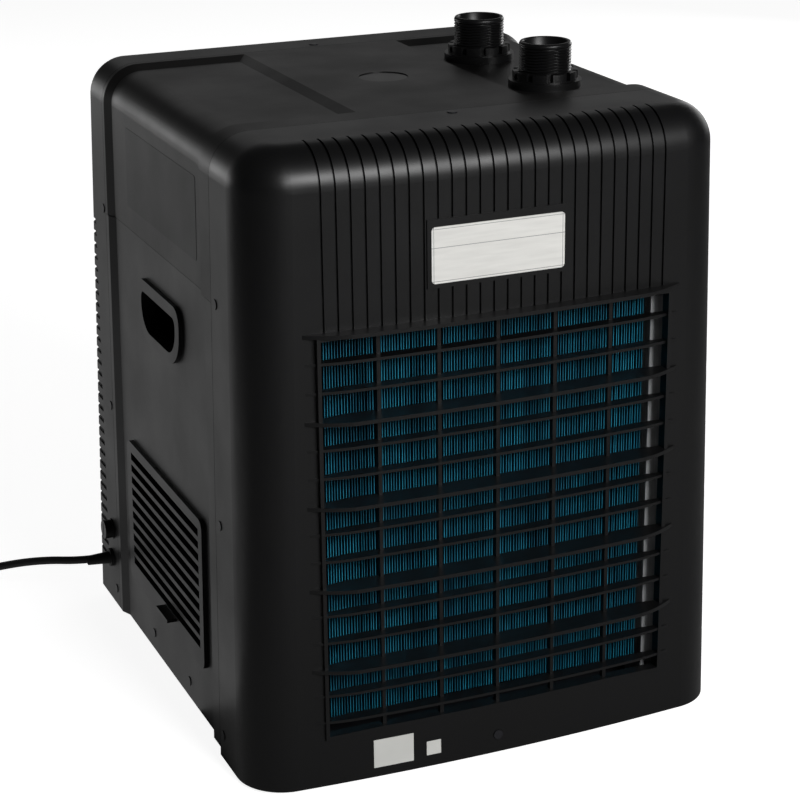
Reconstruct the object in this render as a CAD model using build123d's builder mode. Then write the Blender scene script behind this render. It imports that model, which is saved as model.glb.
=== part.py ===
from build123d import *
import math
import os

# Water chiller. Millimetres, +Z up. The origin is on the floor under the middle of the housing.
# The air inlet grille faces -Y, the side with the power lead is -X, the hose fittings are on the top at +X.

os.makedirs("parts", exist_ok=True)

# Housing envelope
HEIGHT = 505.0
FRONT_BOTTOM = 3.0
SIDE_BOTTOM = 10.0
HALF_WIDTH = 205.0
SIDE_DRAFT = 8.17 / 400
FRONT_Y = -212.5
FRONT_LEAN = 3.0 / 400
FRONT_BOW = 5.29
BOW_REACH = 150.0
REAR_Y = 224.5
REAR_LEAN = 19.8 / 400
CORNER_R = 39.0
TOP_R = 31.0
REAR_R = 12.0
WALL = 3.0

# Seams between the covers
FRONT_SEAM = -126.0
REAR_SEAM = 156.0
TOP_SEAM = 378.6
SEAM_GAP = 0.25
LIP_IN = 3.3
LIP_OUT = 6.4
FRONT_LIP_END = -142.0
REAR_LIP_END = 167.0

# Sunken field of the top and the sides
SINK = 4.0
SINK_FRONT = -103.0
SINK_REAR_LOW = 140.0
SINK_REAR_HIGH = 150.0
CREST_TOP = 70.0
CREST_FOOT = 78.0

# Front grille
OPEN_HALF = 143.0
OPEN_LOW = 46.0
OPEN_HIGH = 365.0
SLAT_COUNT = 15
SLAT_TOP = 370.4
SLAT_PITCH = 22.23
SLAT_TIP = 156.0
SLAT_SHOULDER = 122.0
SMALL_SLAT = (4.0, 6.5, 2.2)
BIG_SLAT = (12.2, 8.0, 3.0)
BAR_X = (-96.0, -48.0, 0.0, 48.0, 96.0)
BAR_WIDTH = 3.0
RIB_PITCH = 11.12
RIB_GROOVES = 13
GROOVE_WIDTH = 1.8
GROOVE_DEPTH = 2.0
GROOVE_START = 370.0

# Hose fittings
FITTING_X = 110.0
INLET_Y = 64.0
OUTLET_Y = -60.0
THREAD_R = 20.95
FITTING_TOP = 537.0
FITTING_BORE = 17.5
TAIL_R = 12.5
TAIL_BORE = 9.5

# Screws
SCREW_HEAD_R = 3.8
SCREW_HEAD_H = 1.9
SCREW_SHANK_R = 1.75
SCREW_LENGTH = 9.0
SCREW_HOLE_R = 1.9
SINK_HOLE_R = 4.1
SINK_HOLE_D = 1.2

side_angle = math.atan(SIDE_DRAFT)
front_angle = math.atan(FRONT_LEAN)
rear_angle = math.atan(REAR_LEAN)

LEFT = Plane(
    origin=(-HALF_WIDTH, 0, FRONT_BOTTOM),
    x_dir=(0, -1, 0),
    z_dir=(-math.cos(side_angle), 0, math.sin(side_angle)),
)
RIGHT = Plane(
    origin=(HALF_WIDTH, 0, FRONT_BOTTOM),
    x_dir=(0, 1, 0),
    z_dir=(math.cos(side_angle), 0, math.sin(side_angle)),
)
FACE = Plane(
    origin=(0, FRONT_Y, FRONT_BOTTOM),
    x_dir=(1, 0, 0),
    z_dir=(0, -math.cos(front_angle), math.sin(front_angle)),
)
BACK = Plane(
    origin=(0, REAR_Y, FRONT_BOTTOM),
    x_dir=(-1, 0, 0),
    z_dir=(0, math.cos(rear_angle), math.sin(rear_angle)),
)
CROWN = Plane(origin=(0, 0, HEIGHT), x_dir=(1, 0, 0), z_dir=(0, 0, 1))


def half_width(z):
    return HALF_WIDTH - SIDE_DRAFT * (z - FRONT_BOTTOM)


def face_y(x, z):
    return FRONT_Y + FRONT_BOW * (x / BOW_REACH) ** 2 + FRONT_LEAN * (z - FRONT_BOTTOM)


def rear_y(z):
    return REAR_Y - REAR_LEAN * (z - FRONT_BOTTOM)


def envelope(inset, bottom):
    """The whole housing as one block, its faces moved in by inset."""
    top = HEIGHT - inset
    rise = top - bottom + 20
    span = 230.0
    near = face_y(0, bottom) + inset
    with BuildPart() as block:
        with BuildSketch(Plane.XZ):
            with BuildLine():
                Polyline(
                    (-half_width(bottom) + inset, bottom),
                    (half_width(bottom) - inset, bottom),
                    (half_width(top) - inset, top),
                    (-half_width(top) + inset, top),
                    close=True,
                )
            make_face()
        extrude(amount=300, both=True)
        with BuildSketch(Plane.XY.offset(bottom)):
            with BuildLine():
                bow = FRONT_BOW * (span / BOW_REACH) ** 2
                ThreePointArc((-span, near + bow), (0, near), (span, near + bow))
                Polyline((span, near + bow), (span, -400), (-span, -400), (-span, near + bow))
            make_face()
        extrude(amount=rise, dir=(0, math.sin(front_angle), math.cos(front_angle)), mode=Mode.SUBTRACT)
        with BuildSketch(Plane.XY.offset(bottom)):
            with Locations((0, rear_y(bottom) - inset + 100)):
                Rectangle(2 * span, 200)
        extrude(amount=rise, dir=(0, -math.sin(rear_angle), math.cos(rear_angle)), mode=Mode.SUBTRACT)
        uprights = [e for e in block.edges() if e.center().Y < -150 and abs(e.center().X) > 180]
        fillet([e for e in uprights if e.length > 300], CORNER_R - inset)
        rim = [e for e in block.edges() if e.center().Z > top - 0.5 and e.center().Y < 150]
        fillet(rim, TOP_R - inset)
        back = [e for e in block.edges() if e.center().Y > 185 and e.center().Z > bottom + 5]
        fillet(back, REAR_R - inset)
    return block.part


def tunnel(inset, front, rear, bottom):
    """The housing's cross-section between two stations along Y, its faces moved in by inset."""
    top = HEIGHT - inset
    with BuildPart() as block:
        with BuildSketch(Plane.XZ.offset(-rear)) as section:
            with BuildLine():
                Polyline(
                    (-half_width(bottom) + inset, bottom),
                    (half_width(bottom) - inset, bottom),
                    (half_width(top) - inset, top),
                    (-half_width(top) + inset, top),
                    close=True,
                )
            make_face()
            fillet(section.vertices().group_by(Axis.Y)[-1], TOP_R - inset)
        extrude(amount=rear - front)
    return block.part


def grip_outline(width, height, upper_r, lower_r):
    """A rectangle with small upper and large lower corners."""
    with BuildSketch() as outline:
        Rectangle(width, height)
        fillet(outline.vertices().group_by(Axis.Y)[-1], upper_r)
        fillet(outline.vertices().group_by(Axis.Y)[0], lower_r)
    return outline.sketch


def screws(plane, places):
    """Pan head screws let into the given plane."""
    with BuildPart() as group:
        with BuildSketch(plane.offset(-SINK_HOLE_D)):
            with Locations(*places):
                Circle(SCREW_HEAD_R)
        extrude(amount=SCREW_HEAD_H)
        with BuildSketch(plane.offset(-SINK_HOLE_D)):
            with Locations(*places):
                Circle(SCREW_SHANK_R)
        extrude(amount=-SCREW_LENGTH)
    return group.part


def screw_holes(plane, places):
    """Clearance holes with a shallow round recess for the head."""
    with BuildPart() as group:
        with BuildSketch(plane.offset(5)):
            with Locations(*places):
                Circle(SCREW_HOLE_R)
        extrude(amount=-5 - SINK_HOLE_D - SCREW_LENGTH - 1)
        with BuildSketch(plane.offset(5)):
            with Locations(*places):
                Circle(SINK_HOLE_R)
        extrude(amount=-5 - SINK_HOLE_D)
    return group.part


def tube_run(radius, bend, *points):
    """A round tube along straight runs joined by bends."""
    with BuildPart() as run:
        with BuildLine() as route:
            FilletPolyline(*points, radius=bend)
        with BuildSketch(Plane(origin=route.line @ 0, z_dir=route.line % 0)):
            Circle(radius)
        sweep(path=route.line)
    return run.part


OUTER = envelope(0.0, FRONT_BOTTOM)
INNER = envelope(WALL, -20.0)

# Screw places: sideways position then height, on each plane
SIDE_FRONT = [(-135.5, 377.0), (-136.5, 201.0), (-134.5, 21.0)]
SIDE_REAR = [(162.5, 378.5), (162.5, 200.0), (165.3, 22.6)]
SIDE_LOW = [(62.7, 22.7), (-35.7, 22.0)]
TOP_FRONT = [(-5.0, -134.6)]
TOP_REAR = [(-1.0, 165.5)]
FACE_LOW = [(-1.5, 15.4)]
BACK_LOW = [(-120.0, 15.0), (120.0, 15.0)]


def on_left(places):
    return [(-y, h) for y, h in places]


def on_right(places):
    return [(y, h) for y, h in places]


SIDE_HOLES = screw_holes(LEFT, on_left(SIDE_FRONT + SIDE_REAR)) + screw_holes(RIGHT, on_right(SIDE_FRONT + SIDE_REAR))
CROWN_HOLES = screw_holes(CROWN, TOP_FRONT + TOP_REAR)

# Front cover
RIM_DEPTH = 9.0
RIM_WIDTH = 3.0
PAD_LEFT = -59.0
PAD_RIGHT = 55.0
PAD_LOW = 394.0
PAD_HIGH = 446.0
PAD_PROUD = 0.5

with BuildPart() as front_cover:
    add(OUTER)
    add(INNER, mode=Mode.SUBTRACT)
    with Locations((0, FRONT_SEAM - SEAM_GAP - 100, 250)):
        Box(500, 200, 600, mode=Mode.INTERSECT)
    rim_near = face_y(0, OPEN_LOW) + WALL - 0.5
    with Locations((0, rim_near + RIM_DEPTH / 2, (OPEN_LOW + OPEN_HIGH) / 2)):
        Box(2 * (OPEN_HALF + RIM_WIDTH), RIM_DEPTH, OPEN_HIGH - OPEN_LOW + 2 * RIM_WIDTH)
    with Locations((0, -205, (OPEN_LOW + OPEN_HIGH) / 2)):
        Box(2 * OPEN_HALF, 60, OPEN_HIGH - OPEN_LOW, mode=Mode.SUBTRACT)
    for k in range(RIB_GROOVES):
        for sign in (-1, 1):
            groove_x = sign * RIB_PITCH * (k + 0.5)
            low = face_y(groove_x, GROOVE_START) + GROOVE_DEPTH
            bend_z = HEIGHT - TOP_R
            bend_y = face_y(groove_x, bend_z) + GROOVE_DEPTH
            inner_r = TOP_R - GROOVE_DEPTH
            reach = inner_r * math.sin(math.radians(45))
            crest = HEIGHT - GROOVE_DEPTH
            with BuildSketch(Plane.YZ.offset(groove_x - GROOVE_WIDTH / 2)):
                with BuildLine():
                    Line((-260, GROOVE_START), (low, GROOVE_START))
                    Line((low, GROOVE_START), (bend_y, bend_z))
                    ThreePointArc(
                        (bend_y, bend_z),
                        (bend_y + inner_r - reach, bend_z + reach),
                        (bend_y + inner_r, crest),
                    )
                    Polyline(
                        (bend_y + inner_r, crest),
                        (bend_y + inner_r + 2, crest),
                        (bend_y + inner_r + 2, HEIGHT + 20),
                        (-260, HEIGHT + 20),
                        (-260, GROOVE_START),
                    )
                make_face()
            extrude(amount=GROOVE_WIDTH, mode=Mode.SUBTRACT)
    with BuildSketch(Plane.YZ.offset(PAD_LEFT)):
        with BuildLine():
            Polyline(
                (face_y(0, PAD_LOW) - PAD_PROUD, PAD_LOW),
                (face_y(0, PAD_HIGH) - PAD_PROUD, PAD_HIGH),
                (face_y(0, PAD_HIGH) + 2.5, PAD_HIGH),
                (face_y(0, PAD_LOW) + 2.5, PAD_LOW),
                close=True,
            )
        make_face()
    extrude(amount=PAD_RIGHT - PAD_LEFT)
    for bar_x in BAR_X:
        with BuildSketch(Plane.YZ.offset(bar_x - BAR_WIDTH / 2)):
            with BuildLine():
                Polyline(
                    (face_y(bar_x, OPEN_LOW) + 4, OPEN_LOW - 1),
                    (face_y(bar_x, OPEN_LOW) + 8, OPEN_LOW - 1),
                    (face_y(bar_x, OPEN_HIGH) + 8, OPEN_HIGH + 1),
                    (face_y(bar_x, OPEN_HIGH) + 4, OPEN_HIGH + 1),
                    close=True,
                )
            make_face()
        extrude(amount=BAR_WIDTH)
    for i in range(SLAT_COUNT):
        slat_z = SLAT_TOP - SLAT_PITCH * i
        proud, back, thick = BIG_SLAT if i % 3 == 0 else SMALL_SLAT
        tip_y = face_y(SLAT_TIP, slat_z) + 0.4
        shoulder_y = face_y(SLAT_SHOULDER, slat_z) - proud
        middle_y = face_y(0, slat_z) - proud
        wall_y = face_y(OPEN_HALF, slat_z) + 1.5
        knee = ((SLAT_TIP + SLAT_SHOULDER) / 2 + 1.0, (tip_y + shoulder_y) / 2 - proud * 0.12)
        with BuildSketch(Plane.XY.offset(slat_z - thick)):
            with BuildLine():
                ThreePointArc((-SLAT_TIP, tip_y), (-knee[0], knee[1]), (-SLAT_SHOULDER, shoulder_y))
                ThreePointArc((-SLAT_SHOULDER, shoulder_y), (0, middle_y), (SLAT_SHOULDER, shoulder_y))
                ThreePointArc((SLAT_SHOULDER, shoulder_y), knee, (SLAT_TIP, tip_y))
                Polyline(
                    (SLAT_TIP, tip_y),
                    (SLAT_TIP, wall_y),
                    (OPEN_HALF + 0.5, wall_y),
                    (OPEN_HALF + 0.5, wall_y + 2.5),
                    (SLAT_SHOULDER, face_y(SLAT_SHOULDER, slat_z) + back),
                )
                ThreePointArc(
                    (SLAT_SHOULDER, face_y(SLAT_SHOULDER, slat_z) + back),
                    (0, face_y(0, slat_z) + back),
                    (-SLAT_SHOULDER, face_y(SLAT_SHOULDER, slat_z) + back),
                )
                Polyline(
                    (-SLAT_SHOULDER, face_y(SLAT_SHOULDER, slat_z) + back),
                    (-OPEN_HALF - 0.5, wall_y + 2.5),
                    (-OPEN_HALF - 0.5, wall_y),
                    (-SLAT_TIP, wall_y),
                    (-SLAT_TIP, tip_y),
                )
            make_face()
        extrude(amount=thick)
    add(SIDE_HOLES, mode=Mode.SUBTRACT)
    add(CROWN_HOLES, mode=Mode.SUBTRACT)
    add(screw_holes(FACE, FACE_LOW), mode=Mode.SUBTRACT)

# Top cover
with BuildPart() as top_cover:
    add(tunnel(0, FRONT_SEAM + SEAM_GAP, SINK_FRONT, TOP_SEAM))
    add(tunnel(SINK, SINK_FRONT, SINK_REAR_LOW, TOP_SEAM))
    with BuildSketch(Plane.XZ.offset(-SINK_REAR_LOW)) as low_section:
        with BuildLine():
            Polyline(
                (-half_width(TOP_SEAM) + SINK, TOP_SEAM),
                (half_width(TOP_SEAM) - SINK, TOP_SEAM),
                (half_width(HEIGHT - SINK) - SINK, HEIGHT - SINK),
                (-half_width(HEIGHT - SINK) + SINK, HEIGHT - SINK),
                close=True,
            )
        make_face()
        fillet(low_section.vertices().group_by(Axis.Y)[-1], TOP_R - SINK)
    with BuildSketch(Plane.XZ.offset(-SINK_REAR_HIGH)) as high_section:
        with BuildLine():
            Polyline(
                (-half_width(TOP_SEAM), TOP_SEAM),
                (half_width(TOP_SEAM), TOP_SEAM),
                (half_width(HEIGHT), HEIGHT),
                (-half_width(HEIGHT), HEIGHT),
                close=True,
            )
        make_face()
        fillet(high_section.vertices().group_by(Axis.Y)[-1], TOP_R)
    loft()
    add(tunnel(0, SINK_REAR_HIGH, REAR_SEAM - SEAM_GAP, TOP_SEAM))
    with BuildSketch(Plane.XZ.offset(-SINK_REAR_HIGH)):
        with BuildLine():
            Polyline(
                (-CREST_TOP, HEIGHT),
                (CREST_TOP, HEIGHT),
                (CREST_FOOT, HEIGHT - SINK),
                (CREST_FOOT, HEIGHT - 10),
                (-CREST_FOOT, HEIGHT - 10),
                (-CREST_FOOT, HEIGHT - SINK),
                close=True,
            )
        make_face()
    extrude(amount=SINK_REAR_HIGH - SINK_FRONT)
    add(tunnel(LIP_IN, FRONT_LIP_END, FRONT_SEAM + SEAM_GAP, TOP_SEAM))
    add(tunnel(LIP_IN, REAR_SEAM - SEAM_GAP, REAR_LIP_END, TOP_SEAM))
    add(tunnel(LIP_OUT, FRONT_LIP_END - 10, REAR_LIP_END + 10, 0), mode=Mode.SUBTRACT)
    for plane, side in ((LEFT, -1), (RIGHT, 1)):
        with BuildSketch(plane.offset(-LIP_OUT - 2)):
            with Locations((side * 20.0, TOP_SEAM + 2 - FRONT_BOTTOM)):
                Rectangle(220, 24)
        extrude(amount=2)
    with Locations((0, 11, HEIGHT - 0.4)):
        Cylinder(20, 0.8, mode=Mode.SUBTRACT)
    with Locations((FITTING_X, INLET_Y, HEIGHT - 5), (FITTING_X, OUTLET_Y, HEIGHT - 5)):
        Cylinder(THREAD_R + 0.3, 30, mode=Mode.SUBTRACT)
    add(SIDE_HOLES, mode=Mode.SUBTRACT)
    add(CROWN_HOLES, mode=Mode.SUBTRACT)

# Left side panel: sunken field, hand hole with a raised border, slatted vent on a raised field
VENT_MID = 14.5
VENT_Z = 120.0
VENT_SIZE = (205.0, 130.0)
SLOT_MID = 13.0
SLOT_SIZE = (184.0, 6.7)
SLOT_FIRST = 75.4
SLOT_PITCH = 10.8
SLOT_COUNT = 10
GRIP_MID = 13.25
GRIP_Z = 319.0
panel_low = SIDE_BOTTOM
panel_high = TOP_SEAM - SEAM_GAP
outer_x = -half_width(panel_low)
panel_outline = [
    (0, FRONT_SEAM + SEAM_GAP),
    (0, SINK_FRONT - 7),
    (SINK, SINK_FRONT - 6),
    (SINK, SINK_REAR_LOW - 2),
    (0, SINK_REAR_HIGH - 2),
    (0, REAR_SEAM - SEAM_GAP),
    (LIP_IN, REAR_SEAM - SEAM_GAP),
    (LIP_IN, REAR_LIP_END),
    (LIP_OUT, REAR_LIP_END),
    (LIP_OUT, FRONT_LIP_END),
    (LIP_IN, FRONT_LIP_END),
    (LIP_IN, FRONT_SEAM + SEAM_GAP),
]

with BuildPart() as left_side_panel:
    with BuildSketch(Plane.XY.offset(panel_low)):
        with BuildLine():
            Polyline(*[(outer_x + dx, y) for dx, y in panel_outline], close=True)
        make_face()
    extrude(
        amount=(panel_high - panel_low) / math.cos(side_angle),
        dir=(math.sin(side_angle), 0, math.cos(side_angle)),
    )
    with BuildSketch(LEFT.offset(-SINK - 0.4)):
        with Locations((-VENT_MID, VENT_Z)):
            RectangleRounded(VENT_SIZE[0], VENT_SIZE[1], 8)
    extrude(amount=SINK + 0.1)
    with BuildSketch(LEFT.offset(-SINK - 0.4)):
        with Locations((-GRIP_MID, GRIP_Z + 0.5)):
            add(grip_outline(110.5, 51, 14, 30))
    extrude(amount=SINK + 0.1)
    with BuildSketch(LEFT.offset(-LIP_OUT - 5)):
        with Locations((-GRIP_MID, GRIP_Z - 0.25)):
            add(grip_outline(95.5, 37.5, 9.5, 24.5))
    extrude(amount=6)
    with BuildSketch(LEFT.offset(2)):
        with Locations((-GRIP_MID, GRIP_Z - 0.25)):
            add(grip_outline(90.5, 32.5, 7, 22))
    extrude(amount=-30, mode=Mode.SUBTRACT)
    with BuildSketch(LEFT.offset(2)):
        for k in range(SLOT_COUNT):
            with Locations((-SLOT_MID, SLOT_FIRST + SLOT_PITCH * k)):
                Rectangle(SLOT_SIZE[0], SLOT_SIZE[1])
    extrude(amount=-14, mode=Mode.SUBTRACT)
    with BuildSketch(LEFT.offset(-SINK)):
        with Locations((-0.5, 69.0)):
            Rectangle(31, 2.6)
    extrude(amount=SINK + 7.7)
    add(screw_holes(LEFT, on_left(SIDE_FRONT + SIDE_REAR)), mode=Mode.SUBTRACT)
    add(screw_holes(LEFT.offset(-SINK), on_left(SIDE_LOW)), mode=Mode.SUBTRACT)

with BuildPart() as right_side_panel:
    add(left_side_panel.part.mirror(Plane.YZ))

# Rear cover with grooves round the back and a window for the controller
BACK_GROOVES = 30
BACK_GROOVE_FIRST = 50.0
BACK_GROOVE_PITCH = 10.8
BACK_GROOVE_H = 4.4
BACK_GROOVE_D = 1.6
FASCIA_Z = 427.0
GLAND_Y = 177.0
GLAND_H = 49.0
FUSE_Y = 174.5
FUSE_H = 78.0
GLAND_R = 6.0
FUSE_R = 6.2
GROOVE_SKIN = envelope(BACK_GROOVE_D, -20.0)

with BuildPart() as back_grooves:
    for k in range(BACK_GROOVES):
        with Locations((0, 230, BACK_GROOVE_FIRST + BACK_GROOVE_PITCH * k)):
            Box(460, 84, BACK_GROOVE_H)
    add(GROOVE_SKIN, mode=Mode.SUBTRACT)

with BuildPart() as rear_cover:
    add(OUTER)
    add(INNER, mode=Mode.SUBTRACT)
    with Locations((0, REAR_SEAM + SEAM_GAP + 100, 250 + SIDE_BOTTOM)):
        Box(500, 200, 500, mode=Mode.INTERSECT)
    add(back_grooves.part, mode=Mode.SUBTRACT)
    with BuildSketch(BACK.offset(5)):
        with Locations((0, FASCIA_Z)):
            Rectangle(116.2, 54.2)
    extrude(amount=-20, mode=Mode.SUBTRACT)
    with BuildSketch(LEFT.offset(5)):
        with Locations((-GLAND_Y, GLAND_H)):
            Circle(GLAND_R)
        with Locations((-FUSE_Y, FUSE_H)):
            Circle(FUSE_R)
    extrude(amount=-20, mode=Mode.SUBTRACT)
    add(SIDE_HOLES, mode=Mode.SUBTRACT)
    add(CROWN_HOLES, mode=Mode.SUBTRACT)
    add(screw_holes(BACK, BACK_LOW), mode=Mode.SUBTRACT)

# Base tray and feet
TRAY_Z = 12.0
TRAY_T = 1.5
TRAY_RIM = 34.0
TRAY_X = 197.5
tray_outline = [(-TRAY_X, -164), (-158, -202.8), (158, -202.8), (TRAY_X, -164), (TRAY_X, 215), (-TRAY_X, 215)]

with BuildPart() as base_plate:
    with BuildSketch(Plane.XY.offset(TRAY_Z)):
        with BuildLine():
            Polyline(*tray_outline, close=True)
        make_face()
    extrude(amount=TRAY_RIM - TRAY_Z)
    with BuildSketch(Plane.XY.offset(TRAY_Z + TRAY_T)):
        with BuildLine():
            Polyline(*tray_outline, close=True)
        make_face()
        offset(amount=-TRAY_T, kind=Kind.INTERSECTION)
    extrude(amount=TRAY_RIM, mode=Mode.SUBTRACT)
    for plane, places in ((LEFT, on_left(SIDE_LOW)), (RIGHT, on_right(SIDE_LOW))):
        add(screw_holes(plane.offset(-SINK), places), mode=Mode.SUBTRACT)
    add(SIDE_HOLES, mode=Mode.SUBTRACT)
    add(screw_holes(BACK, BACK_LOW), mode=Mode.SUBTRACT)
    add(screw_holes(FACE, FACE_LOW), mode=Mode.SUBTRACT)

FOOT_X = 160.0
FOOT_Y = 165.0
with BuildPart() as feet:
    with BuildSketch():
        with GridLocations(2 * FOOT_X, 2 * FOOT_Y, 2, 2):
            Circle(15)
    extrude(amount=TRAY_Z, taper=-6)

# Screws
with BuildPart() as front_cover_screws:
    add(screws(LEFT, on_left(SIDE_FRONT)))
    add(screws(RIGHT, on_right(SIDE_FRONT)))
    add(screws(CROWN, TOP_FRONT))
    add(screws(FACE, FACE_LOW))

with BuildPart() as panel_screws:
    add(screws(LEFT.offset(-SINK), on_left(SIDE_LOW)))
    add(screws(RIGHT.offset(-SINK), on_right(SIDE_LOW)))

with BuildPart() as rear_cover_screws:
    add(screws(LEFT, on_left(SIDE_REAR)))
    add(screws(RIGHT, on_right(SIDE_REAR)))
    add(screws(CROWN, TOP_REAR))
    add(screws(BACK, BACK_LOW))

# Plates and stickers, all bare
with BuildPart() as rating_plate:
    with BuildSketch(FACE.offset(PAD_PROUD)):
        with Locations((-2.0, 415.9)):
            RectangleRounded(108, 42.5, 3)
    extrude(amount=0.8)

with BuildPart() as front_stickers:
    add(envelope(-0.2, FRONT_BOTTOM))
    add(OUTER, mode=Mode.SUBTRACT)
    with BuildPart(mode=Mode.INTERSECT):
        with Locations((-90.5, -210, 23)):
            Box(33, 40, 24)
        with Locations((-57, -210, 19)):
            Box(12, 40, 12)

with BuildPart() as side_label:
    with BuildSketch(LEFT.offset(-SINK + 0.02)):
        with Locations((-10.0, 428.0)):
            RectangleRounded(183, 66, 3)
    extrude(amount=0.2)

# Hose fittings through the top
COLLAR_R = 28.0
COLLAR_LOW = 491.6
COLLAR_HIGH = 496.6
COVER_UNDER = HEIGHT - LIP_OUT
FIELD_Z = HEIGHT - SINK
TAIL_LOW = 464.0


RING_TOP = 514.0
FREE_THREAD_LOW = RING_TOP + 1.0
GRIPPED_R = THREAD_R - 0.35


def fitting(y):
    """A threaded tube with a collar and a hose tail below."""
    steps = (
        (THREAD_R, FREE_THREAD_LOW, FITTING_TOP, Mode.ADD),
        (GRIPPED_R, COLLAR_HIGH, FREE_THREAD_LOW, Mode.ADD),
        (COLLAR_R, COLLAR_LOW, COLLAR_HIGH, Mode.ADD),
        (TAIL_R, TAIL_LOW, COLLAR_LOW, Mode.ADD),
        (FITTING_BORE, COLLAR_HIGH, FITTING_TOP, Mode.SUBTRACT),
        (TAIL_BORE, TAIL_LOW, COLLAR_HIGH, Mode.SUBTRACT),
    )
    with BuildPart() as piece:
        for radius, low, high, mode in steps:
            with BuildSketch(Plane.XY.offset(low)):
                with Locations((FITTING_X, y)):
                    Circle(radius)
            extrude(amount=high - low, mode=mode)
    return piece.part


RING_R = 29.25
NECK_R = 26.0


def lock_ring(y):
    """A flanged nut with notches round its upper edge."""
    with BuildPart() as piece:
        with BuildSketch(Plane.XY.offset(FIELD_Z)):
            with Locations((FITTING_X, y)):
                Circle(RING_R)
        extrude(amount=6)
        with BuildSketch(Plane.XY.offset(FIELD_Z + 6)):
            with Locations((FITTING_X, y)):
                Circle(NECK_R)
        extrude(amount=RING_TOP - FIELD_Z - 6)
        with BuildSketch(Plane.XY.offset(FIELD_Z + 7)):
            with Locations((FITTING_X, y)):
                with PolarLocations(NECK_R, 10):
                    Rectangle(8, 5)
        extrude(amount=20, mode=Mode.SUBTRACT)
        with BuildSketch(Plane.XY.offset(FIELD_Z)):
            with Locations((FITTING_X, y)):
                Circle(GRIPPED_R + 0.05)
        extrude(amount=30, mode=Mode.SUBTRACT)
    return piece.part


def ring_gasket(y):
    """A flat sealing ring between the collar and the cover."""
    with BuildPart() as piece:
        with BuildSketch(Plane.XY.offset(COLLAR_HIGH)):
            with Locations((FITTING_X, y)):
                Circle(COLLAR_R)
                Circle(THREAD_R + 0.3, mode=Mode.SUBTRACT)
        extrude(amount=COVER_UNDER - COLLAR_HIGH)
    return piece.part


LID_TOP = 408.0
SPIGOT_TOP = 432.0


def hose(y):
    """A straight hose from the tank lid to a fitting."""
    with BuildPart() as piece:
        with BuildSketch(Plane.XY.offset(LID_TOP + 2)):
            with Locations((FITTING_X, y)):
                Circle(16.5)
                Circle(TAIL_R, mode=Mode.SUBTRACT)
        extrude(amount=COLLAR_LOW - LID_TOP - 4)
    return piece.part


with BuildPart() as inlet_fitting:
    add(fitting(INLET_Y))
with BuildPart() as outlet_fitting:
    add(fitting(OUTLET_Y))
with BuildPart() as inlet_lock_ring:
    add(lock_ring(INLET_Y))
with BuildPart() as outlet_lock_ring:
    add(lock_ring(OUTLET_Y))
with BuildPart() as inlet_gasket:
    add(ring_gasket(INLET_Y))
with BuildPart() as outlet_gasket:
    add(ring_gasket(OUTLET_Y))
with BuildPart() as inlet_hose:
    add(hose(INLET_Y))
with BuildPart() as outlet_hose:
    add(hose(OUTLET_Y))

# Heat exchanger tank with the evaporator coil inside
TANK_X = 110.0
TANK_Y = 2.0
TANK_R = 75.0
TANK_WALL = 2.5
TANK_LOW = TRAY_Z + TRAY_T
LID_LOW = 402.0
LID_R = 79.0
SUCTION_Z = 370.0
FEED_Z = 80.0

with BuildPart() as heat_exchanger_tank:
    with BuildSketch(Plane.XY.offset(TANK_LOW)):
        with Locations((TANK_X, TANK_Y)):
            Circle(TANK_R)
    extrude(amount=LID_LOW - TANK_LOW)
    with BuildSketch(Plane.YZ.offset(TANK_X)):
        with Locations((TANK_Y, SUCTION_Z)):
            Circle(7)
    extrude(amount=-TANK_R - 8)
    with BuildSketch(Plane.XZ.offset(-TANK_Y)):
        with Locations((TANK_X, FEED_Z)):
            Circle(5)
    extrude(amount=-TANK_R - 8)
    with BuildSketch(Plane.XY.offset(TANK_LOW + TANK_WALL)):
        with Locations((TANK_X, TANK_Y)):
            Circle(TANK_R - TANK_WALL)
    extrude(amount=LID_LOW, mode=Mode.SUBTRACT)

with BuildPart() as tank_lid:
    with BuildSketch(Plane.XY.offset(LID_LOW)):
        with Locations((TANK_X, TANK_Y)):
            Circle(LID_R)
    extrude(amount=LID_TOP - LID_LOW)
    with BuildSketch(Plane.XY.offset(LID_LOW)):
        with Locations((FITTING_X, INLET_Y), (FITTING_X, OUTLET_Y)):
            Circle(TAIL_R)
    extrude(amount=SPIGOT_TOP - LID_LOW)
    with BuildSketch(Plane.XY.offset(LID_LOW)):
        with Locations((FITTING_X, INLET_Y), (FITTING_X, OUTLET_Y)):
            Circle(TAIL_BORE)
        with Locations((TANK_X + 40, TANK_Y)):
            Circle(4)
    extrude(amount=40, mode=Mode.SUBTRACT)

with BuildPart() as temperature_probe:
    with BuildSketch(Plane.XY.offset(LID_TOP)):
        with Locations((TANK_X + 40, TANK_Y)):
            Circle(7)
    extrude(amount=14)
    with BuildSketch(Plane.XY.offset(LID_TOP)):
        with Locations((TANK_X + 40, TANK_Y)):
            Circle(4)
    extrude(amount=-70)

COIL_TURNS_R = 58.0
COIL_TUBE_R = 5.0
COIL_PITCH = 75.0
COIL_RISE = 225.0
with BuildPart() as evaporator_coil:
    with BuildLine() as winding:
        Helix(pitch=COIL_PITCH, height=COIL_RISE, radius=COIL_TURNS_R, center=(TANK_X, TANK_Y, FEED_Z + 20))
    with BuildSketch(Plane(origin=winding.line @ 0, z_dir=winding.line % 0)):
        Circle(COIL_TUBE_R)
    sweep(path=winding.line, is_frenet=True)

with BuildPart() as tank_strap:
    with BuildSketch(Plane.XY.offset(200)):
        with Locations((TANK_X, TANK_Y)):
            Circle(TANK_R + 1.5)
            Circle(TANK_R, mode=Mode.SUBTRACT)
        with Locations((TANK_X - 18, TANK_Y + TANK_R + 7)):
            Rectangle(1.5, 16)
    extrude(amount=18)

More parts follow.
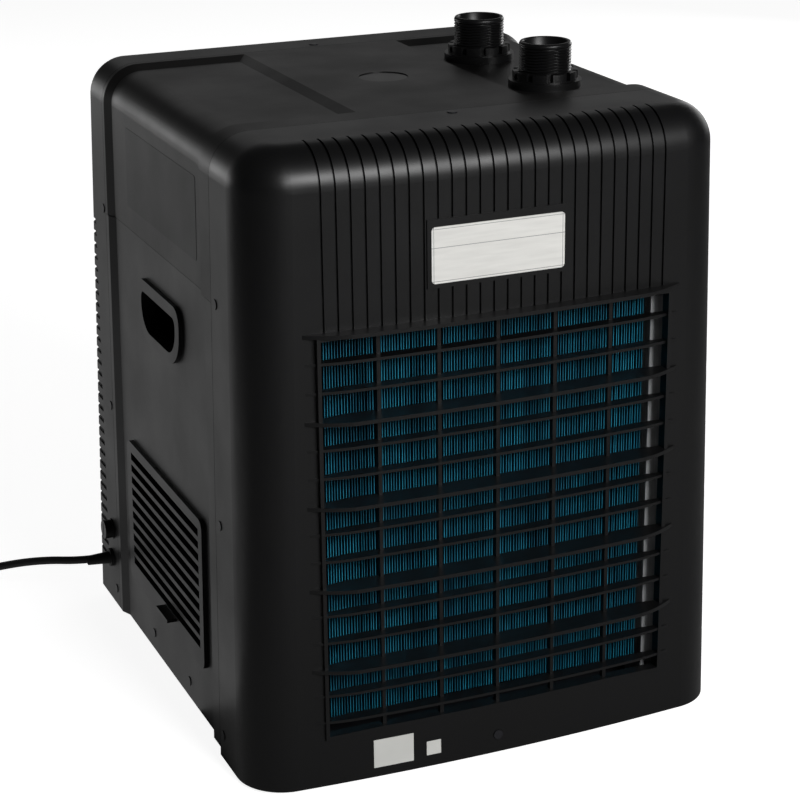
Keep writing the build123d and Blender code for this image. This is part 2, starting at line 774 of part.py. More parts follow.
# Condenser
FIN_LEFT = -148.0
FIN_PITCH = 4.8
FIN_COUNT = 60
FIN_T = 0.5
FIN_FRONT = -184.0
FIN_BACK = -146.0
PLATE_LOW = TANK_LOW
COND_LOW = 48.0
COND_HIGH = 356.0
END_X = 150.0
END_T = 2.0
ROWS = 12
ROW_FIRST = 70.0
ROW_PITCH = 24.0
ROW_Y = -164.0
BEND_R = ROW_PITCH / 2
BEND_TUBE = 4.0

with BuildPart() as condenser_fins:
    with BuildSketch(Plane.XY.offset(COND_LOW)):
        for k in range(FIN_COUNT):
            with Locations((FIN_LEFT + FIN_PITCH * k, (FIN_FRONT + FIN_BACK) / 2)):
                Rectangle(FIN_T, FIN_BACK - FIN_FRONT)
        with Locations((FIN_LEFT + FIN_PITCH * (FIN_COUNT - 1) / 2, FIN_BACK + 0.5)):
            Rectangle(FIN_PITCH * (FIN_COUNT - 1) + FIN_T, 1)
    extrude(amount=COND_HIGH - COND_LOW)

with BuildPart() as condenser_end_plates:
    for sign in (-1, 1):
        with BuildSketch(Plane.XY.offset(PLATE_LOW)):
            with Locations((sign * (END_X + END_T / 2), -164.5)):
                Rectangle(END_T, 43)
            with Locations((sign * (END_X - 4.5), -185.25)):
                Rectangle(9, 1.5)
        extrude(amount=COND_HIGH - PLATE_LOW)

with BuildPart() as condenser_return_bends:
    for k in range(ROWS - 1):
        sign = 1 if k % 2 == 0 else -1
        bend_z = ROW_FIRST + ROW_PITCH * k + BEND_R
        with BuildSketch(Plane.YZ.offset(sign * (END_X + END_T))):
            with Locations((ROW_Y, bend_z + BEND_R)):
                Circle(BEND_TUBE)
        revolve(axis=Axis((sign * (END_X + END_T), ROW_Y, bend_z), (0, sign, 0)), revolution_arc=180)

# Fan behind the condenser
FAN_Z = 201.5
SHROUD_FRONT = -144.0
SHROUD_PLATE = -110.0
ORIFICE_R = 122.0
BLADE_TIP = 118.0
HUB_R = 24.0
SHAFT_R = 4.0
STRAP_Y = -88.0
MOTOR_R = 38.0

with BuildPart() as fan_shroud:
    with Locations((0, (SHROUD_FRONT + SHROUD_PLATE) / 2, FAN_Z)):
        Box(299.6, SHROUD_PLATE - SHROUD_FRONT, 308)
    with Locations((0, (SHROUD_FRONT + SHROUD_PLATE) / 2 - 1.5, FAN_Z)):
        Box(296.6, SHROUD_PLATE - SHROUD_FRONT, 305, mode=Mode.SUBTRACT)
    with BuildSketch(Plane.XZ.offset(-SHROUD_PLATE + 1.5)):
        with Locations((0, FAN_Z)):
            Circle(ORIFICE_R + 1.5)
    extrude(amount=-19.5)
    with BuildSketch(Plane.XZ.offset(-SHROUD_PLATE + 20)):
        with Locations((0, FAN_Z)):
            Circle(ORIFICE_R)
    extrude(amount=-60, mode=Mode.SUBTRACT)

with BuildPart() as fan_rotor:
    with BuildSketch(Plane.XZ.offset(-SHROUD_PLATE + 1)):
        with Locations((0, FAN_Z)):
            Circle(HUB_R)
    extrude(amount=-18)
    for k in range(5):
        blade_turn = Location((0, -102, FAN_Z), (0, 72 * k, 0)) * Location((0, 0, 69), (0, 0, 24))
        with Locations(blade_turn):
            Box(46, 1.6, 96)
    with BuildSketch(Plane.XZ.offset(-SHROUD_PLATE + 20)):
        with Locations((0, FAN_Z)):
            Circle(BLADE_TIP)
    extrude(amount=-60, mode=Mode.INTERSECT)
    with BuildSketch(Plane.XZ.offset(-SHROUD_PLATE + 20)):
        with Locations((0, FAN_Z)):
            Circle(SHAFT_R)
    extrude(amount=-60, mode=Mode.SUBTRACT)

with BuildPart() as fan_shaft:
    with BuildSketch(Plane.XZ.offset(112)):
        with Locations((0, FAN_Z)):
            Circle(SHAFT_R)
    extrude(amount=-50)

with BuildPart() as fan_bracket:
    with Locations((0, STRAP_Y + 1, FAN_Z)):
        Box(280, 2, 22)
    with Locations((-139, (SHROUD_PLATE + STRAP_Y) / 2, FAN_Z), (139, (SHROUD_PLATE + STRAP_Y) / 2, FAN_Z)):
        Box(2, STRAP_Y - SHROUD_PLATE, 22)
    with BuildSketch(Plane.XZ.offset(-STRAP_Y + 5)):
        with Locations((0, FAN_Z)):
            Circle(7)
    extrude(amount=-20, mode=Mode.SUBTRACT)

with BuildPart() as fan_motor:
    with BuildSketch(Plane.XZ.offset(-STRAP_Y - 2)):
        with Locations((0, FAN_Z)):
            Circle(MOTOR_R)
    extrude(amount=-42)
    chamfer(fan_motor.faces().sort_by(Axis.Y)[-1].edges(), 6)
    with BuildSketch(Plane.XZ.offset(-STRAP_Y - 2)):
        with Locations((0, FAN_Z)):
            Circle(SHAFT_R + 0.05)
    extrude(amount=-26, mode=Mode.SUBTRACT)

# Compressor
COMP_X = -85.0
COMP_Y = 60.0
COMP_R = 60.0
COMP_LOW = 31.0
COMP_TOP = 215.0
STUB_TOP = 225.0
DISCHARGE_XY = (-110.0, 30.0)
SUCTION_XY = (-45.0, 40.0)

with BuildPart() as compressor:
    with BuildSketch(Plane.XY.offset(COMP_LOW)):
        with Locations((COMP_X, COMP_Y)):
            Circle(COMP_R)
    extrude(amount=COMP_TOP - COMP_LOW)
    fillet(compressor.faces().sort_by(Axis.Z)[-1].edges(), 28)
    with BuildSketch(Plane.XY.offset(COMP_LOW)):
        with Locations((COMP_X, COMP_Y)):
            RectangleRounded(150, 120, 12)
    extrude(amount=3)
    with BuildSketch(Plane.XY.offset(COMP_TOP - 40)):
        with Locations(DISCHARGE_XY, SUCTION_XY):
            Circle(6)
    extrude(amount=STUB_TOP - COMP_TOP + 40)

with BuildPart() as compressor_mounts:
    with BuildSketch(Plane.XY.offset(TRAY_Z + TRAY_T)):
        with Locations((COMP_X, COMP_Y)):
            with GridLocations(126, 96, 2, 2):
                Circle(9)
    extrude(amount=COMP_LOW - TRAY_Z - TRAY_T)

with BuildPart() as compressor_terminal_cover:
    with Locations((COMP_X, COMP_Y + COMP_R + 4, 130)):
        Box(44, 24, 50)
    with BuildSketch():
        with Locations((COMP_X, COMP_Y)):
            Circle(COMP_R)
    extrude(amount=300, mode=Mode.SUBTRACT)

# Refrigerant lines
plate_out = -END_X - END_T
with BuildPart() as discharge_line:
    add(tube_run(
        4.0, 12.0,
        (DISCHARGE_XY[0], DISCHARGE_XY[1], STUB_TOP),
        (DISCHARGE_XY[0], DISCHARGE_XY[1], 268),
        (-178, DISCHARGE_XY[1], 268),
        (-178, ROW_Y, 268),
        (-178, ROW_Y, ROW_FIRST + ROW_PITCH * (ROWS - 1)),
        (plate_out, ROW_Y, ROW_FIRST + ROW_PITCH * (ROWS - 1)),
    ))

DRIER_X = -174.0
with BuildPart() as liquid_line:
    add(tube_run(
        4.0, 12.0,
        (plate_out, ROW_Y, ROW_FIRST),
        (DRIER_X, ROW_Y, ROW_FIRST),
        (DRIER_X, -10, ROW_FIRST),
    ))

with BuildPart() as filter_drier:
    with BuildSketch(Plane.XZ.offset(10)):
        with Locations((DRIER_X, ROW_FIRST)):
            Circle(11)
    extrude(amount=-90)
    chamfer(filter_drier.edges(), 3)

with BuildPart() as capillary_tube:
    add(tube_run(
        1.5, 12.0,
        (DRIER_X, 80, ROW_FIRST),
        (DRIER_X, 150, ROW_FIRST),
        (TANK_X, 150, FEED_Z),
        (TANK_X, TANK_Y + TANK_R + 8, FEED_Z),
    ))

with BuildPart() as suction_line:
    add(tube_run(
        6.0, 18.0,
        (TANK_X - TANK_R - 8, TANK_Y, SUCTION_Z),
        (SUCTION_XY[0], TANK_Y, SUCTION_Z),
        (SUCTION_XY[0], SUCTION_XY[1], SUCTION_Z),
        (SUCTION_XY[0], SUCTION_XY[1], STUB_TOP),
    ))

# Controller on the back
LENS_U = -22.0
BUTTON_U = (21.0, 34.5, 48.0)
BUTTON_W = 10.0
BUTTON_H = 8.0
BUTTON_FIT = 0.08

with BuildPart() as controller_fascia:
    with BuildSketch(BACK):
        with Locations((0, FASCIA_Z)):
            RectangleRounded(126, 64, 6)
    extrude(amount=2)
    with BuildSketch(BACK):
        with Locations((0, FASCIA_Z)):
            Rectangle(116, 54)
    extrude(amount=-4)
    with BuildSketch(BACK.offset(3)):
        with Locations((LENS_U, FASCIA_Z)):
            Rectangle(58, 26)
        for button_u in BUTTON_U:
            with Locations((button_u, FASCIA_Z)):
                Rectangle(BUTTON_W + 2 * BUTTON_FIT, BUTTON_H + 2 * BUTTON_FIT)
    extrude(amount=-8, mode=Mode.SUBTRACT)

with BuildPart() as display_lens:
    with BuildSketch(BACK.offset(-2)):
        with Locations((LENS_U, FASCIA_Z)):
            Rectangle(58, 26)
    extrude(amount=3.2)


def push_button(u):
    """A rectangular key standing in the fascia."""
    with BuildPart() as piece:
        with BuildSketch(BACK.offset(-5)):
            with Locations((u, FASCIA_Z)):
                Rectangle(BUTTON_W, BUTTON_H)
        extrude(amount=8.5)
        chamfer(piece.faces().sort_by(Axis.Y)[-1].edges(), 0.6)
        with BuildSketch(BACK.offset(-5.2)):
            with Locations((u, FASCIA_Z)):
                Rectangle(BUTTON_W + 2, BUTTON_H + 2)
        extrude(amount=1.0)
    return piece.part


with BuildPart() as set_button:
    add(push_button(BUTTON_U[0]))
with BuildPart() as up_button:
    add(push_button(BUTTON_U[1]))
with BuildPart() as down_button:
    add(push_button(BUTTON_U[2]))

with BuildPart() as control_board:
    with BuildSketch(BACK.offset(-8.6)):
        with Locations((0, FASCIA_Z)):
            Rectangle(112, 50)
    extrude(amount=1.6)

with BuildPart() as controller_box:
    with BuildSketch(BACK.offset(-30)):
        with Locations((0, FASCIA_Z)):
            Rectangle(116, 54)
    extrude(amount=26)
    with BuildSketch(BACK.offset(-28.5)):
        with Locations((0, FASCIA_Z)):
            Rectangle(113, 51)
    extrude(amount=30, mode=Mode.SUBTRACT)

# Fuse holder and lead gland on the left of the rear cover
CAP_R = 8.4
with BuildPart() as fuse_holder:
    with BuildSketch(LEFT):
        with Locations((-FUSE_Y, FUSE_H)):
            Circle(9.4)
    extrude(amount=1.2)
    with BuildSketch(LEFT):
        with Locations((-FUSE_Y, FUSE_H)):
            Circle(FUSE_R)
    extrude(amount=-24)
    with BuildSketch(LEFT.offset(2)):
        with Locations((-FUSE_Y, FUSE_H)):
            Circle(3.6)
    extrude(amount=-20, mode=Mode.SUBTRACT)

with BuildPart() as fuse_cap:
    with BuildSketch(LEFT.offset(1.25)):
        with Locations((-FUSE_Y, FUSE_H)):
            Circle(CAP_R)
    extrude(amount=6.8)
    with BuildSketch(LEFT.offset(8.1)):
        with Locations((-FUSE_Y, FUSE_H)):
            Rectangle(1.6, 12)
    extrude(amount=-1.6, mode=Mode.SUBTRACT)
    with BuildSketch(LEFT.offset(2)):
        with Locations((-FUSE_Y, FUSE_H)):
            Circle(3.55)
    extrude(amount=-16)

LEAD_R = 3.6
SLEEVE_LENGTH = 20.0
with BuildPart() as cord_gland:
    with BuildSketch(LEFT):
        with Locations((-GLAND_Y, GLAND_H)):
            Circle(8.2)
    extrude(amount=3)
    with BuildSketch(LEFT):
        with Locations((-GLAND_Y, GLAND_H)):
            Circle(GLAND_R)
    extrude(amount=-14)
    with BuildSketch(LEFT.offset(3)):
        with Locations((-GLAND_Y, GLAND_H)):
            Circle(5.6)
    with BuildSketch(LEFT.offset(3 + SLEEVE_LENGTH)):
        with Locations((-GLAND_Y, GLAND_H)):
            Circle(4.3)
    loft()
    with BuildSketch(LEFT.offset(3 + SLEEVE_LENGTH + 5)):
        with Locations((-GLAND_Y, GLAND_H)):
            Circle(LEAD_R)
    extrude(amount=-60, mode=Mode.SUBTRACT)

with BuildPart() as gland_nut:
    with BuildSketch(LEFT.offset(-WALL)):
        with Locations((-GLAND_Y, GLAND_H)):
            RegularPolygon(9.2, 6, rotation=30)
            Circle(GLAND_R, mode=Mode.SUBTRACT)
    extrude(amount=-5)

# Power lead: from inside the gland to the coil on the floor
gland_axis = LEFT.z_dir
gland_point = LEFT.from_local_coords((-GLAND_Y, GLAND_H, 0))
sleeve_end = gland_point + gland_axis * (3 + SLEEVE_LENGTH)
LEAD_START = gland_point - gland_axis * 14
lead_points = [
    LEAD_START,
    Vector(sleeve_end.X - 2, sleeve_end.Y, sleeve_end.Z),
    Vector(-262, 208, 47),
    Vector(-296, 242, 33),
    Vector(-337, 264, 18.5),
    Vector(-378, 264, 8),
    Vector(-411, 240, LEAD_R),
    Vector(-423, 205, LEAD_R),
]


def bend_radii(points):
    """A radius for each corner that leaves straight lead between the bends."""
    radii = []
    for a, b, c in zip(points, points[1:], points[2:]):
        before = b - a
        after = c - b
        turn = math.radians(before.get_angle(after))
        radii.append(0.45 * min(before.length, after.length) / math.tan(turn / 2))
    return radii


lead_radii = bend_radii(lead_points)
print("lead bend radii", [round(r, 1) for r in lead_radii])

with BuildPart() as power_cord:
    with BuildLine() as lead_route:
        FilletPolyline(*lead_points, radius=lead_radii)
    with BuildSketch(Plane(origin=lead_route.line @ 0, z_dir=lead_route.line % 0)):
        Circle(LEAD_R)
    sweep(path=lead_route.line)
route_length = sum(e.length for e in lead_route.edges())
print("lead length", round(route_length, 1))
print("lead volume over section", round(power_cord.part.volume / (math.pi * LEAD_R**2), 1))

# The unseen length, put away as a coil, and the plug
COIL_R = 43.0
COIL_ACROSS = 3
COIL_LAYERS = 2
COIL_TURNS = 5
entry = lead_points[-1]
heading = (lead_points[-1] - lead_points[-2]).normalized()
across = Vector(-heading.Y, heading.X, 0)
STUB = 30.0
TAIL = 60.0
LAST_TURN = 20.0
PLUG_R = 18.0
coil_entry = entry + heading * STUB
outer_turn = COIL_R + 2 * LEAD_R
coil_centre = coil_entry + across * outer_turn
coil_high = 2 * LEAD_R * COIL_LAYERS
exit_z = coil_high - LEAD_R
spoke = Vector(coil_entry.X - coil_centre.X, coil_entry.Y - coil_centre.Y, 0).normalized()
turned = spoke.rotate(Axis.Z, LAST_TURN)
exit_point = Vector(coil_centre.X, coil_centre.Y, exit_z) + turned * outer_turn
exit_heading = turned.rotate(Axis.Z, 90)
plug_face = Vector(exit_point.X, exit_point.Y, PLUG_R) + exit_heading * TAIL
wound = 2 * math.pi * COIL_R * (COIL_TURNS + LAST_TURN / 360)
print("whole lead", round(route_length + STUB + wound + TAIL))

with BuildPart() as cord_coil:
    with BuildSketch(Plane.XZ.offset(-coil_centre.Y)):
        with Locations((coil_centre.X + COIL_R, coil_high / 2)):
            RectangleRounded(2 * LEAD_R * COIL_ACROSS, coil_high - 0.3, 2.5)
    revolve(axis=Axis((coil_centre.X, coil_centre.Y, 0), (0, 0, 1)))
    with BuildSketch(Plane(origin=entry, z_dir=heading)):
        Circle(LEAD_R)
    extrude(amount=STUB + 2)
    with BuildSketch(Plane(origin=exit_point, z_dir=exit_heading)):
        Circle(LEAD_R)
    with BuildSketch(Plane(origin=plug_face, z_dir=exit_heading)):
        Circle(LEAD_R)
    loft()

plug_plane = Plane(origin=plug_face, x_dir=(0, 0, 1), z_dir=exit_heading)
with BuildPart() as plug_body:
    with BuildSketch(plug_plane):
        Circle(5.5)
    with BuildSketch(plug_plane.offset(22)):
        Circle(11)
    loft()
    with BuildSketch(plug_plane.offset(22)):
        Circle(PLUG_R)
    extrude(amount=18)
    chamfer(plug_body.edges().filter_by(GeomType.CIRCLE).group_by(SortBy.RADIUS)[-1], 1.5)
    with BuildSketch(plug_plane.offset(40)):
        with Locations((0, -9.5), (0, 9.5)):
            Circle(2.4)
    extrude(amount=-12, mode=Mode.SUBTRACT)
    with Locations(plug_plane.offset(36).location * Location((PLUG_R - 1.2, 0, 0))):
        Box(2.4, 5, 9, mode=Mode.SUBTRACT)

with BuildPart() as plug_pins:
    with BuildSketch(plug_plane.offset(28)):
        with Locations((0, -9.5), (0, 9.5)):
            Circle(2.4)
    extrude(amount=12 + 19)

parts = {
    "front_cover": front_cover,
    "top_cover": top_cover,
    "left_side_panel": left_side_panel,
    "right_side_panel": right_side_panel,
    "rear_cover": rear_cover,
    "base_plate": base_plate,
    "feet": feet,
    "front_cover_screws": front_cover_screws,
    "panel_screws": panel_screws,
    "rear_cover_screws": rear_cover_screws,
    "rating_plate": rating_plate,
    "front_stickers": front_stickers,
    "side_label": side_label,
    "inlet_fitting": inlet_fitting,
    "outlet_fitting": outlet_fitting,
    "inlet_lock_ring": inlet_lock_ring,
    "outlet_lock_ring": outlet_lock_ring,
    "inlet_gasket": inlet_gasket,
    "outlet_gasket": outlet_gasket,
    "inlet_hose": inlet_hose,
    "outlet_hose": outlet_hose,
    "heat_exchanger_tank": heat_exchanger_tank,
    "tank_lid": tank_lid,
    "temperature_probe": temperature_probe,
    "evaporator_coil": evaporator_coil,
    "tank_strap": tank_strap,
    "condenser_fins": condenser_fins,
    "condenser_end_plates": condenser_end_plates,
    "condenser_return_bends": condenser_return_bends,
    "fan_shroud": fan_shroud,
    "fan_rotor": fan_rotor,
    "fan_shaft": fan_shaft,
    "fan_bracket": fan_bracket,
    "fan_motor": fan_motor,
    "compressor": compressor,
    "compressor_mounts": compressor_mounts,
    "compressor_terminal_cover": compressor_terminal_cover,
    "discharge_line": discharge_line,
    "liquid_line": liquid_line,
    "filter_drier": filter_drier,
    "capillary_tube": capillary_tube,
    "suction_line": suction_line,
    "controller_fascia": controller_fascia,
    "display_lens": display_lens,
    "set_button": set_button,
    "up_button": up_button,
    "down_button": down_button,
    "control_board": control_board,
    "controller_box": controller_box,
    "fuse_holder": fuse_holder,
    "fuse_cap": fuse_cap,
    "cord_gland": cord_gland,
    "gland_nut": gland_nut,
    "power_cord": power_cord,
    "cord_coil": cord_coil,
    "plug_body": plug_body,
    "plug_pins": plug_pins,
}

for node, builder in parts.items():
    builder.part.label = node
    export_step(builder.part, "parts/" + node + ".step")
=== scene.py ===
import math

import bpy
import numpy as np
from mathutils import Matrix, Vector


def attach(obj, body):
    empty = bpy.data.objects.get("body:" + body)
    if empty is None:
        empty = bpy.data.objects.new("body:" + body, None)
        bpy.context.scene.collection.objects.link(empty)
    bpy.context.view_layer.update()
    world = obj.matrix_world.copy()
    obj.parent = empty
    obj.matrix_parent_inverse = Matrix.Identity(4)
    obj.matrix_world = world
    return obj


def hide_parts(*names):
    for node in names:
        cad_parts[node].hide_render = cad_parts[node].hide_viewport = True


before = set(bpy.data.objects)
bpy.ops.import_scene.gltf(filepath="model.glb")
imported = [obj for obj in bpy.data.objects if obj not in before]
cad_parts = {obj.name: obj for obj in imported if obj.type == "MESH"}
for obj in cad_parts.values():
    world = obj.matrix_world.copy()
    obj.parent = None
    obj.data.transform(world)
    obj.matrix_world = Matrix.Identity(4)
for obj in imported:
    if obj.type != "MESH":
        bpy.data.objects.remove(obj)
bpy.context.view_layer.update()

MM = 0.001


def linear(hex_colour):
    """An sRGB hex value as linear RGBA."""
    channels = [int(hex_colour[i:i + 2], 16) / 255 for i in (1, 3, 5)]
    return [c / 12.92 if c <= 0.04045 else ((c + 0.055) / 1.055) ** 2.4 for c in channels] + [1.0]


def node(tree, kind, settings=None, inputs=None, links=None):
    """Adds one node: attributes, fixed inputs, and links given as input: (node, output)."""
    made = tree.nodes.new(kind)
    for key, value in (settings or {}).items():
        setattr(made, key, value)
    for key, value in (inputs or {}).items():
        made.inputs[key].default_value = value
    for key, (source, output) in (links or {}).items():
        tree.links.new(source.outputs[output], made.inputs[key])
    return made


def material(name, colour, roughness, metallic=0.0, **shader):
    """A material with one Principled shader; returns it, its tree, shader and Object coordinates."""
    made = bpy.data.materials.new(name)
    made.use_nodes = True
    tree = made.node_tree
    tree.nodes.clear()
    skin = node(tree, "ShaderNodeBsdfPrincipled", inputs={
        "Base Color": linear(colour), "Roughness": roughness, "Metallic": metallic, **shader})
    node(tree, "ShaderNodeOutputMaterial", links={"Surface": (skin, "BSDF")})
    place = node(tree, "ShaderNodeTexCoord")
    return made, tree, skin, place


def bump(tree, skin, height, strength, depth_mm):
    """Joins a height to the shader's normal."""
    made = node(tree, "ShaderNodeBump", inputs={"Strength": strength, "Distance": depth_mm * MM},
                links={"Height": height})
    tree.links.new(made.outputs["Normal"], skin.inputs["Normal"])


def noise(tree, place, size_mm, detail=3.0, stretch=(1.0, 1.0, 1.0)):
    """Noise whose largest grain is size_mm, stretched along the axes."""
    stretched = node(tree, "ShaderNodeMapping", inputs={"Scale": stretch},
                     links={"Vector": (place, "Object")})
    return node(tree, "ShaderNodeTexNoise", inputs={"Scale": 1 / MM / size_mm, "Detail": detail},
                links={"Vector": (stretched, "Vector")})


def between(tree, factor, low_hex, high_hex, low=0.3, high=0.7):
    """A colour ramp between two sRGB values."""
    ramp = node(tree, "ShaderNodeValToRGB", links={"Fac": factor})
    ramp.color_ramp.elements[0].position = low
    ramp.color_ramp.elements[0].color = linear(low_hex)
    ramp.color_ramp.elements[1].position = high
    ramp.color_ramp.elements[1].color = linear(high_hex)
    return ramp


def span(tree, value, low, high, to_low, to_high):
    """Maps a value from one range to another."""
    return node(tree, "ShaderNodeMapRange", inputs={
        "From Min": low, "From Max": high, "To Min": to_low, "To Max": to_high}, links={"Value": value})


# The real grain is about a tenth of a millimetre; it is drawn coarser, so that it shows
GRAIN_MM = 0.9
PATCH_MM = 60.0
MOULDED_SPECULAR = 0.3


def grained_skin(name, colour, worn, roughness, grain_mm=GRAIN_MM):
    """A skin with the fine grain of its mould or coat, a little smoother in broad patches."""
    made, tree, skin, place = material(
        name, colour, roughness, 0.0, **{"Specular IOR Level": MOULDED_SPECULAR})
    broad = noise(tree, place, PATCH_MM, 3.0)
    tint = between(tree, (broad, "Fac"), colour, worn, 0.35, 0.75)
    tree.links.new(tint.outputs["Color"], skin.inputs["Base Color"])
    sheen = span(tree, (broad, "Fac"), 0.3, 0.7, roughness + 0.04, roughness - 0.05)
    tree.links.new(sheen.outputs["Result"], skin.inputs["Roughness"])
    grain = noise(tree, place, grain_mm, 2.0)
    bump(tree, skin, (grain, "Fac"), 0.25, 0.06)
    return made


# Black ABS moulded against a spark-eroded tool: a soft wide sheen, no mirror image
abs_housing = grained_skin("abs_black_textured", "#0a0a0b", "#0d0d0d", 0.4)

# Round moulding mark in the middle of the top cover
MARK_Y = 11.0
MARK_R = 20.0
MARK_EDGE = 0.4
MARK_SPECULAR = 0.75


def moulded_top():
    """The same ABS on the top cover, with its round moulding mark polished smooth."""
    made = grained_skin("abs_black_top", "#0d0c0c", "#100f0f", 0.45)
    tree = made.node_tree
    skin = tree.nodes["Principled BSDF"]
    place = tree.nodes["Texture Coordinate"]
    flat = node(tree, "ShaderNodeVectorMath", {"operation": "MULTIPLY"}, {1: (1, 1, 0)},
                {0: (place, "Object")})
    away = node(tree, "ShaderNodeVectorMath", {"operation": "DISTANCE"}, {1: (0, MARK_Y * MM, 0)},
                {0: (flat, "Vector")})
    mark = span(tree, (away, "Value"), (MARK_R - MARK_EDGE) * MM, MARK_R * MM, 1.0, 0.0)
    shine = span(tree, (mark, "Result"), 0.0, 1.0, MOULDED_SPECULAR, MARK_SPECULAR)
    tree.links.new(shine.outputs["Result"], skin.inputs["Specular IOR Level"])
    return made


abs_top = moulded_top()
# The same ABS with a flatter grain on the rear cover: a little darker
abs_rear = grained_skin("abs_black_rear", "#09090a", "#0c0c0c", 0.42)
# ABS moulded against a polished tool: narrow highlights on threads and rings
abs_glossy = grained_skin("abs_black_smooth", "#0a0a0b", "#0d0d0d", 0.34, 1.4)
# Grey polypropylene, blown or moulded: waxy and even
grey_plastic = grained_skin("polypropylene_grey", "#56575a", "#5e5f61", 0.5)
# Light grey ABS with a fine moulded grain: a plain matt face
key_plastic = grained_skin("abs_grey_keys", "#6d6e71", "#77787a", 0.42)
# Black rubber and soft PVC, moulded or extruded: dull, with hardly a highlight
rubber = grained_skin("rubber_black", "#0f0f0f", "#141414", 0.62, 1.2)


def rolled_metal(name, colour, dull, roughness, stretch, metallic=1.0):
    """Rolled or drawn metal: scratches along one way, drawn 2 mm apart to show, spread its shine."""
    made, tree, skin, place = material(name, colour, roughness, metallic)
    lines = noise(tree, place, 2.0, 4.0, stretch)
    tint = between(tree, (lines, "Fac"), dull, colour)
    tree.links.new(tint.outputs["Color"], skin.inputs["Base Color"])
    rough = span(tree, (lines, "Fac"), 0.3, 0.7, roughness + 0.08, roughness - 0.05)
    tree.links.new(rough.outputs["Result"], skin.inputs["Roughness"])
    bump(tree, skin, (lines, "Fac"), 0.2, 0.05)
    return made


# Hot-dip galvanised steel, rolled: pale grey with upright streaks
galvanised = rolled_metal("steel_galvanised", "#d2d4d5", "#b4b6b8", 0.55, (1.0, 1.0, 0.06), 0.25)
# Drawn copper tube, slightly tarnished: warm, with darker blotches
copper = rolled_metal("copper_tube", "#c98257", "#9c5c3c", 0.3, (0.2, 0.2, 0.2))
# Drawn titanium tube: dull grey with a warm tint
titanium = rolled_metal("titanium_tube", "#a3a09a", "#878580", 0.35, (0.2, 0.2, 0.2))
# Nickel-plated brass, turned and polished: bright and a little yellow
nickel = rolled_metal("brass_nickel_plated", "#d0cbbf", "#b6b1a5", 0.2, (1.0, 1.0, 1.0))
# Steel with a baked black powder coat: a fine orange-peel sheen
black_steel = grained_skin("steel_powder_black", "#17171a", "#1d1d20", 0.4, 1.1)
# Sprayed black enamel on a pressed shell: glossy, slightly wavy
compressor_paint = grained_skin("enamel_black_gloss", "#0c0c0d", "#101011", 0.22, 3.0)
# Pressed glass-fibre board with a green lacquer: even and half glossy
board = grained_skin("fibreglass_board_green", "#1d4a2b", "#235634", 0.45)


# Depths between which the painted highlight on the fins' front cut edge passes into the painted shade on
# their faces
HIGHLIGHT_EDGE_Y, SHADED_FACE_Y = -183.9, -182.6


def fin_coat_with_painted_light():
    """Aluminium fins with a baked blue-green coat, with a painted highlight along the front cut edge and
    painted shade on the faces behind it.
    """
    made, tree, skin, place = material("aluminium_teal_coat_painted_light", "#0e6f92", 0.4, 0.3)
    axes = node(tree, "ShaderNodeSeparateXYZ", links={"Vector": (place, "Object")})
    highlight_to_shade = span(tree, (axes, "Y"), HIGHLIGHT_EDGE_Y * MM, SHADED_FACE_Y * MM, 1.0, 0.0)
    streaks = noise(tree, place, 9.0, 3.0, (1.0, 1.0, 0.15))
    # Painted highlight for the lit front cut edge, then painted shade for the fin faces deeper in
    painted_edge_highlight = between(tree, (streaks, "Fac"), "#0d5873", "#2393b3")
    painted_face_shade = between(tree, (streaks, "Fac"), "#03181f", "#072f40")
    tint = node(tree, "ShaderNodeMix", {"data_type": "RGBA"}, {},
                {0: (highlight_to_shade, "Result"), 6: (painted_face_shade, "Color"), 7: (painted_edge_highlight, "Color")})
    tree.links.new(tint.outputs[2], skin.inputs["Base Color"])
    bump(tree, skin, (streaks, "Fac"), 0.2, 0.08)
    return made


teal_fin = fin_coat_with_painted_light()


# Rating plate: middle and half size of its printed border, and the rule's height
BORDER = (("X", -2.0, 52.3), ("Z", 418.9, 19.6))
BORDER_LINE = 0.18
BORDER_LIMIT = 52.5
RULE_Z = 424.5
RULE_LINE = 0.2


def foil_plate():
    """Rolled aluminium foil plate: a pale satin field, bare but for a thin border and rule."""
    made, tree, skin, place = material("aluminium_foil_plate", "#d9d8d4", 0.42, 0.15)
    axes = node(tree, "ShaderNodeSeparateXYZ", links={"Vector": (place, "Object")})
    grain = noise(tree, place, 3.0, 3.0, (0.1, 1.0, 1.0))
    field = between(tree, (grain, "Fac"), "#d3d2ce", "#dddcd8")

    def maths(operation, fixed, links):
        return node(tree, "ShaderNodeMath", {"operation": operation}, fixed, links)

    lines = maths("COMPARE", {1: RULE_Z * MM, 2: RULE_LINE * MM}, {0: (axes, "Z")})
    for axis, middle, half in BORDER:
        off = maths("SUBTRACT", {1: middle * MM}, {0: (axes, axis)})
        size = maths("ABSOLUTE", {}, {0: (off, "Value")})
        on = maths("COMPARE", {1: half * MM, 2: BORDER_LINE * MM}, {0: (size, "Value")})
        near = maths("LESS_THAN", {1: BORDER_LIMIT * MM}, {0: (size, "Value")})
        line = maths("MULTIPLY", {}, {0: (on, "Value"), 1: (near, "Value")})
        lines = maths("MAXIMUM", {}, {0: (lines, "Value"), 1: (line, "Value")})
    mixed = node(tree, "ShaderNodeMix", {"data_type": "RGBA"}, {7: linear("#77777a")},
                 {0: (lines, "Value"), 6: (field, "Color")})
    tree.links.new(mixed.outputs[2], skin.inputs["Base Color"])
    return made


plate_foil = foil_plate()
# Pressed white paper label: matt, with a faint fibre mottle
sticker = grained_skin("paper_sticker_white", "#c9c9c5", "#d6d6d2", 0.55, 2.0)
# Black polyester film label: flat, nearly the housing's black
dark_sticker = grained_skin("polyester_label_black", "#0a0a0b", "#0d0d0d", 0.5, 6.0)


